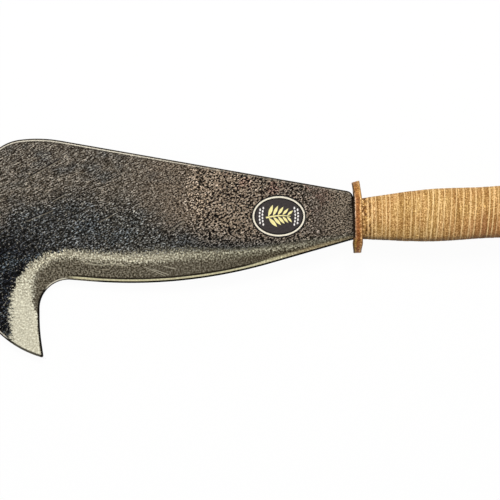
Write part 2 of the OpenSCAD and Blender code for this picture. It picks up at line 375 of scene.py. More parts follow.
def offset_line(line, depths):
    """A line moved to its left by a depth at each point."""
    way = np.gradient(line, axis=0)
    way /= np.linalg.norm(way, axis=1)[:, None]
    return line + np.stack([-way[:, 1], way[:, 0]], 1) * np.asarray(depths)[:, None]


# Width and depth of the chamfer along the back
RIM_W, RIM_DROP = 1.0, 0.55
# How far the heel is pressed into the guard's leather, and the run over which it is
HEEL_SEAT, SEAT_RUN = 0.6, 4.0
# The middle of the darkest scale, behind the beak's root
SHADE_AT = (-238.5, -35.4)
# Distance in noise between the two cheeks, which gives each its own pits
CHEEK_STEP = 40.0
# How far the tang starts inside the blade, and its stub inside the tang
ROOT = 0.4
# The hammered head: rim, depth of its dents and of its flat middle, points around and rows
HEAD_RIM, HEAD_DENT, HEAD_FLAT, HEAD_TURNS, HEAD_ROWS = 0.25, 0.14, 0.05, 48, 7
# Clear space in the mesh: crease to outline, points of a crease, and grid to crease, outline and chamfer
CREASE_CLEAR, CREASE_STEP, GRID_CLEAR, OUTLINE_CLEAR, RIM_CLEAR = 0.1, 0.3, 0.45, 0.5, 0.4
# How far the points of the grid are shaken, and the step between its rows
GRID_SHAKE, GRID_ROW = 0.18, GRID * 0.866
# Size and depth of pits, finer pits and dents in the forge scale
PIT_SIZE, PIT_DEPTH = 2.3, 0.16
FINE_SIZE, FINE_DEPTH = 1.4, 0.05
DENT_SIZE, DENT_DEPTH = 19.0, 0.07
# Width of the dull strip: on the belly, more in the hook, on the beak and at its tip
DULL_W, DULL_HOOK_MORE, DULL_BEAK_W, DULL_TIP_W = 14.1, 0.9, 5.4, 1.0
# The edge turns down into the beak beyond this x
BEAK_X = -183.0


def rim_quads(faces, n):
    """Quads that join the open rim of a sheet to the rim of its copy, n points later."""
    sides = dict.fromkeys((a, b) for f in faces for a, b in zip(f, f[1:] + f[:1]))
    return [[b, a, a + n, b + n] for a, b in sides if (b, a) not in sides]


def blade_points():
    """Points and triangles of the blade's flat outline, with lines along each crease."""
    w, g, share = bevel_widths(EDGE_LINE)
    creases = [offset_line(EDGE_LINE, depth) for depth in (w, g, HONE_W * w / BEVEL_W * share)]
    creases += [offset_line(BACK_LINE, np.full(len(BACK_LINE), RIM_W * k)) for k in (0.35, 1.0)]
    points = [tuple(p) for p in OUTLINE]
    links = []
    for line in creases:
        clear = inside(line, OUTLINE)
        clear &= nearest(line, OUTLINE_LOOP)[0] > CREASE_CLEAR
        last = None
        for p, good in zip(line, clear):
            if not good:
                last = None
                continue
            if last is not None:
                if np.linalg.norm(p - points[last]) < CREASE_STEP:
                    continue
                links.append((last, len(points)))
            last = len(points)
            points.append(tuple(p))
    low, high = OUTLINE.min(0), OUTLINE.max(0)
    rows = np.arange(low[1], high[1], GRID_ROW)
    grid = np.array([(x + (k % 2) * GRID / 2, y) for k, y in enumerate(rows)
                     for x in np.arange(low[0], high[0], GRID)])
    random = np.random.default_rng(5)
    grid = grid + random.uniform(-GRID_SHAKE, GRID_SHAKE, grid.shape)
    grid = grid[inside(grid, OUTLINE)]
    grid = grid[nearest(grid, OUTLINE_LOOP)[0] > OUTLINE_CLEAR]
    distance, _, place = nearest(grid, EDGE_LINE)
    w, g, _ = bevel_widths(place)
    clear = (np.abs(distance - w) > GRID_CLEAR) & (np.abs(distance - g) > GRID_CLEAR)
    clear &= nearest(grid, BACK_LINE)[0] > RIM_W + RIM_CLEAR
    points += [tuple(p) for p in grid[clear]]
    found = delaunay_2d_cdt([Vector(p) for p in points], links, [list(range(len(OUTLINE)))], 1, 1e-5)
    return np.array([tuple(p) for p in found[0]]), [list(f) for f in found[2]]


def bevel_height(distance, place, x):
    """Half the blade's thickness at a distance from the edge."""
    w, g, share = bevel_widths(place)
    top = half_t(x)
    hone = HONE_W * w / BEVEL_W * share
    hone_z = EDGE_T / 2 + (HONE_T - EDGE_T) / 2 * share
    crease_z = EDGE_T / 2 + (GRIND_T - EDGE_T) / 2 * share
    z = EDGE_T / 2 + (hone_z - EDGE_T / 2) * distance / hone
    z = np.where(distance > hone, hone_z + (crease_z - hone_z) * (distance - hone) / (g - hone), z)
    z = np.where(distance > g, crease_z + (top - crease_z) * (distance - g) / (w - g), z)
    return np.where(distance > w, top, np.minimum(z, top))


def label_reach(flat):
    """How far out from the label's middle each point is; its rim is at 1."""
    turn = heading(LABEL_TURN)
    off = flat - (-LABEL_AT, LABEL_UP)
    return np.hypot(off @ turn / (LABEL_L / 2), off @ turned_left(turn) / (LABEL_H / 2))


def blade_side(flat, side):
    """Heights of one cheek and the values that its material reads."""
    distance, run, place = nearest(flat, EDGE_LINE)
    w = bevel_widths(place)[0]
    rim = nearest(flat, BACK_LINE)[0]
    z = bevel_height(distance, place, flat[:, 0])
    t = np.clip(rim / RIM_W, 0, 1)
    z = np.minimum(z, half_t(flat[:, 0]) - RIM_DROP * (1 - t) ** 1.6)
    spots = np.column_stack([flat, np.full(len(flat), CHEEK_STEP * side)])
    scale = smooth(-1.0, 3.0, distance - w) * smooth(0.3, 2.0, rim)
    pits = np.maximum(0, perlin(spots, PIT_SIZE, 1) + 0.1) ** 1.5 * PIT_DEPTH
    pits += np.maximum(0, perlin(spots, FINE_SIZE, 2)) * FINE_DEPTH
    dents = (perlin(spots, DENT_SIZE, 3) + 0.75) * DENT_DEPTH
    # The pits are deepest from 28 to 95 mm past the shoulder, and the cheek is plain under the label
    pitted = 0.4 + 0.6 * smooth(-130, -95, flat[:, 0]) * smooth(-12, -28, flat[:, 0])
    bare = smooth(1.02, 1.2, label_reach(flat))
    z = z - scale * bare * (pits * pitted + np.maximum(0, dents))
    # The dull strip beside the edge narrows down the beak
    low = np.where(place[:, 0] < BEAK_X, place[:, 1], 0.0)
    dull = (DULL_W + DULL_HOOK_MORE * smooth(BEAK_X + 7, BEAK_X - 7, place[:, 0])) * w / BEVEL_W
    dull = dull + (DULL_BEAK_W - dull) * smooth(-30, -45, low)
    dull = dull + (DULL_TIP_W - dull) * smooth(-43, -57, low)
    # Distances past the bevel, past the dull strip, from the edge, from the back and from the shoulder
    values = {
        "cheek": distance - w, "upper": distance - dull, "edge": distance, "rim": rim,
        "heel": -flat[:, 0], "shade": smooth(56, 22, np.hypot(*(flat - SHADE_AT).T)),
        "place": spots, "grain": np.column_stack([run, distance, spots[:, 2]]),
    }
    return z, values


def box_faces(start, rings, count):
    """Quads between rings of points, with flat ends."""
    faces = [[start + count - 1 - i for i in range(count)]]
    for k in range(rings - 1):
        for i in range(count):
            a, b = start + k * count + i, start + k * count + (i + 1) % count
            faces.append([a, b, b + count, a + count])
    last = start + (rings - 1) * count
    faces.append([last + i for i in range(count)])
    return faces


def make_blade(steel):
    """The blade with its tang: two cheeks over one flat mesh, joined round the rim."""
    flat, triangles = blade_points()
    n = len(flat)
    top, values = blade_side(flat, 1)
    low, low_values = blade_side(flat, -1)
    seated = flat + np.column_stack([HEEL_SEAT * smooth(-SEAT_RUN, 0.0, flat[:, 0]), np.zeros(n)])
    points = [np.column_stack([seated, top]), np.column_stack([seated, -low])]
    faces = triangles + [[i + n for i in reversed(f)] for f in triangles] + rim_quads(triangles, n)
    values = {key: np.concatenate([values[key], low_values[key]]) for key in values}
    # The tang is a bar with a round stub and a hammered head on its end
    bar = [(x, y * TANG_W / 2, z * TANG_T / 2) for x in (-ROOT, TANG_END)
           for y, z in ((-1, -1), (1, -1), (1, 1), (-1, 1))]
    faces += box_faces(2 * n, 2, 4)
    stub_r = TANG_T * STUB_SHARE / 2
    cap_r = (HEAD_D ** 2 / 4 + HEAD_H ** 2) / (2 * HEAD_H)
    profile = [(TANG_END - ROOT, stub_r), (RIVET_X, stub_r), (RIVET_X, HEAD_D / 2 - HEAD_RIM)]
    for k in range(HEAD_ROWS):
        x = RIVET_X + HEAD_RIM + (HEAD_H - HEAD_RIM - HEAD_FLAT) * k / (HEAD_ROWS - 1)
        profile.append((x, math.sqrt(max(0, cap_r ** 2 - (x - END_X + cap_r) ** 2))))
    ring = [2 * math.pi * i / HEAD_TURNS for i in range(HEAD_TURNS)]
    head = []
    for k, (x, r) in enumerate(profile):
        dent = [0.0] * HEAD_TURNS
        if k > 2:
            spots = [Vector((math.cos(a) * 2.2, math.sin(a) * 2.2, x * 0.9)) for a in ring]
            dent = [HEAD_DENT * max(0, noise.noise(spot)) for spot in spots]
        head += [(x - dent[i], math.cos(a) * r, math.sin(a) * r) for i, a in enumerate(ring)]
    faces += box_faces(2 * n + len(bar), len(profile), HEAD_TURNS)
    extra = np.array(bar + head)
    points = np.concatenate(points + [extra])
    # These give the tang and its head the look of plain ground steel
    filler = {"cheek": -5.0, "upper": 3.0, "edge": 9.0, "rim": 20.0, "heel": 150.0}
    for key in values:
        more = extra if values[key].ndim == 2 else np.full(len(extra), filler.get(key, 0.0))
        values[key] = np.concatenate([values[key], more])
    build("forged_blade", points, faces, [steel], "blade", values, sharp=38)


# How much more a grain works on green and blue than on red
STEEL_TINT, LEATHER_TINT = (1.0, 1.08, 1.2), (1.0, 1.25, 1.85)
# Long lines that the hammer left, and the step from each to the pale line beside it, a painted highlight
# on the groove's side
FORGING_LINES = [
    ((-215.9, 39.2), (-192.2, 51.1)), ((-218.9, 10.1), (-200.0, 16.9)), ((-201.7, 22.3), (-189.1, 28.2)),
    ((-170.9, 6.9), (-159.1, 12.4)), ((-123.5, -0.9), (-113.0, 5.2)),
]
LINE_STEP = (0.4, -0.8)
# Scratches across the ground steel
SCRATCHES = [
    ((-141.4, -24.7), (-127.0, -31.8)), ((-136.5, -26.3), (-124.4, -31.0)),
    ((-128.6, -24.8), (-119.5, -27.5)), ((-141.5, -21.5), (-134.5, -19.0)),
    ((-139.5, -23.0), (-136.5, -17.0)), ((-138.5, -19.0), (-131.0, -24.5)),
]


def scale_colour(s, place, cheek, heel, rim):
    """Forge scale: darkest by the beak, browner by the spine, with pits, grit, painted glints, and forging
    lines with a painted highlight beside each.
    """
    blotch = s.noise(place, 0.045, 3)
    left = s.ramp(heel, 95, 165)
    low_at = s.ramp(heel, 95, 165, 0.5, 24)
    high_at = s.ramp(heel, 20, 190, 5, 48)
    shift = s.times(s.plus(blotch, -0.5), s.times(high_at, 0.6))
    level = s.ramp(s.plus(cheek, shift), low_at, high_at)
    high = s.mix(left, (93, 82, 70), (80, 74, 66))
    high = s.mix(s.ramp(heel, 85, 30), high, (75, 67, 59))
    high = s.mix(s.ramp(heel, 24, 10), high, (92, 83, 72))
    low = s.mix(s.band(heel, 132, 158, 20), (45, 45, 44), (53, 52, 49))
    low = s.mix(s.ramp(heel, 70, 35), low, (62, 58, 51))
    colour = s.mix(level, low, high)
    colour = s.mix(s.number("shade"), colour, (12, 13, 16))
    cool = s.ramp(s.noise(s.along(place, 10, 1.8, 1), 0.07, 3), 0.5, 0.66, 0, 0.55)
    colour = s.mix(s.times(cool, left), colour, (46, 50, 52))
    rust = s.times(s.ramp(s.noise(place, 0.11, 2), 0.46, 0.6), s.band(heel, 30, 70, 25))
    colour = s.mix(s.times(rust, s.ramp(rim, 24, 4, 0, 0.45)), colour, (92, 66, 58))
    pitted = s.band(heel, 48, 88, 30)
    grit = s.noise(s.along(place, 15, 1.3, 0.9), 1.1, 1, 0.5)
    pits = s.noise(s.along(place, 20, 1.25, 0.9), 0.86, 1, 0.5, 0.3)
    hatch = s.noise(s.along(place, 27, 5.5, 0.8), 1, 1, 0.5)
    lines = s.noise(s.along(place, 27, 24, 0.62), 1, 2)
    uneven = s.ramp(blotch, 0.35, 0.65, 0.75, 1.15)
    rougher = s.times(uneven, s.ramp(level, 0, 1, 1.55, 0.8))
    coarse = s.times(s.times_plus(pitted, -10, 15), s.ramp(heel, 12, 34, 1.45, 1.1))
    colour = s.grain(colour, grit, s.times(coarse, rougher), STEEL_TINT)
    deep = s.times_plus(pitted, 38, s.ramp(level, 0, 0.8, 9, 1))
    colour = s.lit(colour, s.times_plus(pitted, -0.14, 0.97))
    colour = s.grain(colour, pits, deep, STEEL_TINT, 3.1)
    colour = s.grain(colour, hatch, s.ramp(heel, 100, 180, 2, 7), STEEL_TINT)
    cracks = s.times(s.ramp(lines, 0.4, 0.31), s.ramp(heel, 110, 160, 0.2, 0.85))
    colour = s.mix(cracks, colour, (22, 20, 20))
    # Painted glints: pale specks that stand in for light caught by tiny facets of the scale
    painted_glints = s.ramp(s.noise(s.along(place, 27, 1.5, 1), 0.95, 2, 0.5), 0.61, 0.7)
    colour = s.mix(s.times(painted_glints, s.ramp(heel, 90, 170, 0.4, 0.75)), colour, (172, 167, 155))
    for start, end in FORGING_LINES:
        # Each line is dark, with a pale painted highlight beside it
        beside = s.stroke(place, np.add(start, LINE_STEP), np.add(end, LINE_STEP), 0.5)
        colour = s.mix(s.times(beside, 0.4), colour, (150, 142, 126))
        colour = s.mix(s.times(s.stroke(place, start, end, 0.6), 0.85), colour, (18, 16, 16))
    height = s.times_plus(pits, s.times_plus(pitted, 1.6, 0.5), grit)
    return colour, height


def ground_colour(s, place, grain, cheek, upper, edge, heel):
    """Ground steel: pale next to the scale, dull beside the edge, with painted highlights along the crease
    and along the border with the scale, and scratches.
    """
    beak = s.split(place)[1]
    belly = s.ramp(heel, 80, 150)
    streak = s.noise(s.stretch(grain, (1.2, 0.2, 1)), 1, 4)
    fine = s.noise(place, 0.85, 1, 0.5)
    hook = s.times(s.ramp(beak, -14, -48), s.ramp(heel, 186, 206))
    pale = s.mix(hook, (174, 168, 147), (204, 200, 179))
    pale = s.mix(belly, (118, 114, 97), pale)
    dull = s.mix(s.ramp(heel, 20, 110), (70, 62, 46), (92, 86, 73))
    wander = s.times_plus(s.plus(streak, fine), 4, -4)
    crease = s.plus(upper, wander)
    soft = s.ramp(beak, -36, -44, 2.8, 1)
    colour = s.mix(s.ramp(crease, s.times(soft, -1), soft), dull, pale)
    # Painted highlight: a pale soft line along the border between the scale and the bevel
    border = s.times(s.band(s.plus(cheek, wander), -1.6, -0.4, 1.2), s.band(heel, 38, 95, 14))
    colour = s.mix(s.times(border, 0.6), colour, (164, 159, 138))
    gritty = s.times(s.ramp(beak, -22, -44, 4.2, 1.5), s.ramp(heel, 130, 95, 1, 1.45))
    dull_grit = s.times(s.ramp(crease, 2, -2), s.ramp(heel, 120, 150, 0, 3.5))
    gritty = s.plus(gritty, dull_grit)
    colour = s.grain(colour, fine, gritty, STEEL_TINT)
    colour = s.lit(colour, s.speckle(streak, 0.8))
    # Painted highlight: a thin pale line that wanders along the crease between the two ground facets
    bends = s.noise(place, 0.12, 2)
    path = s.math("ABSOLUTE", s.times_plus(bends, 6, s.plus(upper, -1.2)))
    crease_highlight = s.times(s.ramp(path, 0.6, 0.15), s.band(heel, 154, 178, 4))
    colour = s.mix(s.times(crease_highlight, 0.6), colour, (184, 180, 158))
    for start, end in SCRATCHES:
        colour = s.mix(s.times(s.stroke(place, start, end, 0.24), 0.85), colour, (198, 192, 170))
    # From the edge inwards: a dark outline of painted shade, the honed strip and a dark line
    honed = s.ramp(heel, 195, 185)
    near = s.ramp(heel, 80, 50)
    hone_dark = s.times(honed, s.ramp(near, 0, 1, 0.95, 0))
    hone_dark = s.times(s.band(edge, 2.7, 3.25, 0.6), hone_dark)
    colour = s.mix(hone_dark, colour, (30, 25, 17))
    cream = s.mix(s.ramp(heel, 30, 60), (160, 146, 114), (204, 197, 162))
    strip = s.times(s.ramp(edge, 0.7, 1.2), s.ramp(edge, s.ramp(near, 0, 1, 2.55, 3.9), 2.1))
    cream = s.grain(cream, fine, s.ramp(near, 0, 1, 0.8, 2.6), STEEL_TINT)
    colour = s.mix(s.times(strip, honed), colour, cream)
    # Painted shade: the dark outline right at the edge
    outline = s.ramp(edge, s.times_plus(honed, -0.45, 1.9), s.times_plus(honed, -0.05, 1))
    outline = s.times(outline, s.ramp(s.band(heel, 176, 194, 6), 0, 1, 1, 0.35))
    colour = s.mix(outline, colour, (16, 13, 8))
    lip = s.times(s.band(edge, 0.85, 1.15, 0.4), s.band(heel, 195, 206, 3))
    colour = s.mix(lip, colour, (214, 208, 190))
    return colour, streak, fine


def steel_material():
    """Forge scale on the cheeks, two ground facets, a honed edge, a bright chamfer along the spine with a
    painted highlight, and painted shade along the outline and at the heel.
    """
    s = Shader("forged_steel")
    place, grain = s.vector("place"), s.vector("grain")
    cheek, upper, edge, rim, heel = (s.number(name) for name in ("cheek", "upper", "edge", "rim", "heel"))
    scale, relief = scale_colour(s, place, cheek, heel, rim)
    ground, streak, fine = ground_colour(s, place, grain, cheek, upper, edge, heel)

    def to_hook(at_belly, at_hook):
        return s.ramp(heel, 120, 200, at_belly, at_hook)

    # The border between them: spiky round the hook, speckled along the belly
    spikes = s.noise(s.stretch(grain, (1.5, 0.32, 1)), 1, 3, 0.6)
    specks = s.noise(place, 0.95, 4, 0.65)
    ragged = s.times_plus(s.plus(spikes, -0.5), to_hook(2, 16), cheek)
    speckled = s.times(to_hook(24, 10), s.ramp(heel, 85, 125, 0.35, 1))
    ragged = s.times_plus(s.plus(specks, -0.5), speckled, ragged)
    ragged = s.plus(ragged, s.ramp(heel, 128, 150, 0, 0.4))
    bare = s.ramp(ragged, to_hook(2.8, 0.9), to_hook(-2.8, -0.9))
    colour = s.mix(bare, scale, ground)
    # The spine from outside: a dark line of painted shade on the rounded back, a bright chamfer of ground
    # steel with a painted highlight, and a second dark line
    spine = s.times(s.ramp(heel, 55, 165, 0.15, 1), s.ramp(cheek, 1, 4))
    spine = s.times(spine, s.ramp(specks, 0.32, 0.55, 0.5, 1))
    colour = s.mix(s.times(s.band(rim, 1.9, 2.3, 0.4), s.times(spine, 0.5)), colour, (46, 42, 36))
    colour = s.mix(s.times(s.band(rim, 0.98, 1.48, 0.25), spine), colour, (208, 202, 186))
    # Painted shade along the outline of the back and round the beak
    beak_rim = s.ramp(cheek, 3, 0, 0, 0.6)
    rim_shade = s.ramp(rim, s.plus(beak_rim, 1.15), s.plus(beak_rim, 0.6), 0, 0.9)
    colour = s.mix(rim_shade, colour, s.mix(s.ramp(specks, 0.35, 0.65), (24, 21, 16), (46, 41, 33)))
    # Painted shadow: the heel is dark where it meets the guard
    colour = s.mix(s.ramp(heel, 1.4, 0.4, 0, 0.9), colour, (34, 20, 14))
    rough = s.times_plus(fine, 0.2, s.ramp(bare, 0, 1, 0.46, 0.34))
    height = s.times(relief, s.ramp(bare, 0, 1, 1, 0.1))
    normal = s.bump(height, 0.8, 0.35)
    normal = s.bump(streak, 0.12, 0.05, normal)
    return s.finish(Base_Color=colour, Metallic=0.3, Roughness=rough, Normal=normal,
                    Specular_IOR_Level=0.06)


def grip_height(u):
    """Height of the grip at a distance from the guard."""
    def ease(a, b, t, slope=0.0):
        return a + (b - a) * (t * t * (3 - 2 * t) + slope * t * (1 - t) ** 2)
    if u < SWELL_AT:
        return ease(GRIP_FRONT_D, GRIP_SWELL_D, u / SWELL_AT, END_SLOPE)
    if u < WAIST_AT:
        return ease(GRIP_SWELL_D, GRIP_WAIST_D, (u - SWELL_AT) / (WAIST_AT - SWELL_AT))
    return ease(GRIP_END_D, GRIP_WAIST_D, (GRIP_LEN - u) / (GRIP_LEN - WAIST_AT), END_SLOPE)


TURNS = 120
RING = np.arange(TURNS) * 2 * math.pi / TURNS


def oval_ring(share):
    """Points round an oval of half height 1, whose width is a share of its height."""
    return np.stack([np.cos(RING), np.sin(RING) * share], 1)


# The tang's slot as a ring of points, one for each point of a washer's rim
SLOT_Y, SLOT_Z = TANG_W / 2 + TANG_CLEAR, TANG_T / 2 + TANG_CLEAR
SLOT_SHRINK = np.minimum(SLOT_Y / np.maximum(np.abs(np.cos(RING)), 1e-9),
                         SLOT_Z / np.maximum(np.abs(np.sin(RING)), 1e-9))
SLOT_RING = oval_ring(1.0) * SLOT_SHRINK[:, None]


def washer_mesh(rows):
    """Closed ring through rows of points, the last row joined to the first."""
    count = len(rows)
    faces = []
    for k in range(count):
        for i in range(TURNS):
            a, b = k * TURNS + i, k * TURNS + (i + 1) % TURNS
            c, d = ((k + 1) % count) * TURNS + (i + 1) % TURNS, ((k + 1) % count) * TURNS + i
            faces.append([a, d, c, b])
    return np.concatenate(rows), faces


def node_span(name):
    """Where a CAD node starts and ends along the tang's axis."""
    co = np.array([v.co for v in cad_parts[name].data.vertices]) / MM
    along = (co[:, 0] + MIDDLE_X) * math.cos(TILT) + (co[:, 2] - LIFT) * math.sin(TILT)
    return along.min(), along.max()


JOINTS = [node_span("grip_washer_%02d" % (i + 1))[0] - GRIP_X for i in range(WASHER_COUNT)] + [GRIP_LEN]
# How much the guard and the first joint lean, and how much the guard tilts from cheek to cheek
GUARD_LEAN, GUARD_TILT = 0.033, 0.042
# How much more a joint leans along the grip, over which run, and the run at the end that takes it away
LEAN_MORE, LEAN_RUN, LEAN_END = 0.085, 50.0, 32.0
# How far a joint wanders, the size of its waves, and the distance in noise between joints
WAVE, WAVE_SIZE, WAVE_STEP = 0.12, 7, 3.7
# Rows of points across a grip washer's rim
WASHER_ROWS = 11


def joint_lean(u):
    """How much a joint leans: more along the grip, not at all at its end."""
    return (GUARD_LEAN + LEAN_MORE * smooth(0, LEAN_RUN, u)) * smooth(GRIP_LEN, GRIP_LEN - LEAN_END, u)


def joint_line(j, oval):
    """Where a joint runs round the grip: it leans a little and wanders."""
    y, z = oval.T * grip_height(JOINTS[j]) / 2
    ends = math.sin(math.pi * JOINTS[j] / GRIP_LEN) ** 0.5 if 0 < j < WASHER_COUNT else 0.0
    wander = [noise.noise(Vector((b / WAVE_SIZE, c / WAVE_SIZE, j * WAVE_STEP))) for b, c in zip(y, z)]
    return JOINTS[j] + joint_lean(JOINTS[j]) * y + ends * WAVE * np.array(wander)


def make_washer(i, leather, random):
    """One leather washer of the grip, between two wandering joints."""
    oval = oval_ring(GRIP_OVAL)
    slack = 0.05 + 0.14 * random.random()
    tone, line = random.random(), random.random()
    start, end = joint_line(i, oval), joint_line(i + 1, oval)
    rows, across = [], []
    for k in range(WASHER_ROWS):
        x = start + (end - start) * (k / (WASHER_ROWS - 1))
        r = np.array([grip_height(min(max(u, 0.0), GRIP_LEN)) for u in x]) / 2
        gap = np.minimum(x - start, end - x)
        spots = np.column_stack([x * 2.2, oval * 20])
        groove = 0.10 * np.exp(-gap / 0.14)
        hollows = 0.08 * np.maximum(0, perlin(spots, 3.0, i + 3))
        rows.append(np.column_stack([x + GRIP_X, oval * (r - slack - groove - hollows)[:, None]]))
        across.append(gap)
    for x in (end, start):
        rows.append(np.column_stack([x + GRIP_X, SLOT_RING]))
        across.append(np.zeros(TURNS))
    points, faces = washer_mesh(rows)
    front = smooth(13, 2, points[:, 0] - GRIP_X)
    values = {
        "across": np.concatenate(across), "tone": np.full(len(points), tone),
        "line": np.full(len(points), line), "front": front,
        # Where the grip takes painted shade: along its lower side
        "under": smooth(0.8, 0.97, np.tile(-oval[:, 0], len(rows))), "skin": points,
    }
    number = "%02d" % (i + 1)
    build("leather_washer_" + number, points, faces, [leather], "grip_washer_" + number,
          values, sharp=50)


def grip_material():
    """Sanded edges of stacked leather, with a pale line at each joint and painted shade along the lower
    side.
    """
    s = Shader("grip_leather")
    skin, across = s.vector("skin"), s.number("across")
    tone, line, front = s.number("tone"), s.number("line"), s.number("front")
    streak = s.noise(s.stretch(skin, (2, 0.12, 0.12)), 1, 4, 0.6)
    layers = s.noise(s.stretch(skin, (1.3, 0.03, 0.03)), 1, 2)
    spots = s.noise(skin, 0.5, 4, 0.6)
    fuzz = s.noise(skin, 1.1, 3, 0.6)
    patch = s.noise(skin, 0.06, 2)
    body = s.mix(s.ramp(streak, 0.3, 0.7), (160, 117, 64), (190, 148, 88))
    body = s.mix(s.times(tone, 0.5), body, (182, 136, 82))
    body = s.mix(s.ramp(patch, 0.42, 0.62, 0, 0.45), body, (176, 140, 80))
    # Where the hand has darkened it: towards the pommel and on the side away from the spine
    x, y = s.split(skin)[:2]
    worn = s.times(s.ramp(x, 50, 95), s.ramp(y, 4, -12))
    body = s.mix(s.times(worn, s.ramp(fuzz, 0.3, 0.6, 0.3, 0.75)), body, (160, 106, 62))
    stain = s.times(s.band(x, 85, 87.5, 1.2), s.ramp(y, 4, -4, 0, 0.5))
    body = s.mix(s.times(stain, s.ramp(fuzz, 0.35, 0.6, 0.5, 1)), body, (112, 62, 32))
    body = s.mix(s.times(front, s.ramp(spots, 0.55, 0.4)), body, (106, 68, 26))
    body = s.mix(s.times(front, s.ramp(spots, 0.56, 0.64)), body, (240, 196, 128))
    body = s.grain(body, fuzz, 3.8, LEATHER_TINT)
    body = s.grain(body, layers, 2, LEATHER_TINT)
    wide = s.times_plus(fuzz, 0.9, s.times(line, 0.3))
    pale = s.ramp(s.math("DIVIDE", across, wide), 1, 0.4)
    broken = s.ramp(s.noise(s.stretch(skin, (0.6, 0.3, 0.3)), 1, 3, 0.6), 0.34, 0.56, 0.5, 1)
    pale = s.times(s.times(pale, broken), s.times_plus(line, 0.6, 0.4))
    colour = s.mix(pale, body, (246, 210, 152))
    # Painted shade along the grip's lower side, darkest towards the guard
    under = s.times(s.number("under"), s.ramp(spots, 0.35, 0.6, 0.9, 0.45))
    colour = s.mix(under, colour, s.mix(s.ramp(x, 45, 12), (84, 60, 38), (44, 30, 20)))
    height = s.plus(s.times(streak, 0.7), fuzz)
    rough = s.ramp(spots, 0.3, 0.7, 0.62, 0.82)
    normal = s.bump(height, 0.6, 0.3)
    return s.finish(Base_Color=colour, Roughness=rough, Specular_IOR_Level=0.15, Normal=normal)


# Where a thick washer's faces have points, as shares of the way from the slot to the rim
FACE_REACH = (0.85, 0.7, 0.5, 0.25, 0.0)
# A thick washer's rim: shares of its thickness, and how far the rim is drawn in there
RIM_PROFILE = [(0.0, 0.4), (0.05, 0.14), (0.2, 0.03), (0.3, 0.0), (0.5, 0.05), (0.7, 0.0), (0.82, 0.03),
               (0.95, 0.14), (1.0, 0.4)]


def make_rim_washer(name, node, x, d, t, rise, leather, seed, bend, slant=0.0, at_blade=0.0):
    """A thick oval washer with rounded rims and two flats; bend moves its points along the tang."""
    oval = oval_ring(GUARD_OVAL)
    rings = []
    for share, inset in RIM_PROFILE:
        spots = np.column_stack([np.full(TURNS, share * t), oval * 24])
        hollows = 0.14 * np.maximum(0, perlin(spots, 4.0, seed))
        r = d / 2 - inset - hollows - slant * (1 - share) * smooth(0.85, 1.0, oval[:, 0])
        flat = d * GUARD_FLAT / 2 - inset
        ring = oval * r[:, None]
        ring[:, 1] = np.clip(ring[:, 1], -flat, flat)
        ring[:, 0] += rise
        rings.append((share, ring, 1.0))
    for share, reach in [(1.0, r) for r in FACE_REACH] + [(0.0, r) for r in FACE_REACH[::-1]]:
        rings.append((share, SLOT_RING + (oval * d / 2 + (rise, 0) - SLOT_RING) * reach, reach))
    rows = [np.column_stack([x + bend(share, ring, reach), ring]) for share, ring, reach in rings]
    points, faces = washer_mesh(rows)
    depth = np.repeat([share for share, _, _ in rings], TURNS)
    off = np.abs(points[:, 1:] - (rise, 0)) / (d / 2)
    reach = np.maximum(np.hypot(off[:, 0], off[:, 1] / GUARD_OVAL), off[:, 1] / GUARD_FLAT)
    # Whether the washer is at the blade: there it gets painted shade and shadow, and a yellow patch below
    # the heel
    values = {"depth": depth, "reach": reach, "next_to_blade": np.full(len(points), at_blade), "skin": points}
    build(name, points, faces, [leather], node, values, sharp=60)


def guard_bend(share, ring, reach):
    """The guard leans with the first joint, is dished round the heel and bends back above and below it."""
    y, z = ring.T
    upper = np.maximum(0, y - 14.5)
    flare = smooth(0.5, 0.95, reach)
    # The left face is the one at the blade, the right face the one at the grip
    left = 1.45 - 0.21 * upper - 1.9 * smooth(-12.0, -16.0, y) + 0.4 * smooth(-16.0, -22.0, y)
    right = 1.15 - 0.13 * upper + 0.25 * smooth(-4.0, -14.0, y) - 1.1 * smooth(-16.0, -22.0, y)
    left = left * smooth(0.2, 0.95, reach)
    right = GUARD_T + right * flare
    return left + (right - left) * share + GUARD_LEAN * y - GUARD_TILT * z * flare


def pommel_bend(share, ring, reach):
    """The pommel is flat, whatever the reach."""
    return np.full(len(ring), POMMEL_T * share)


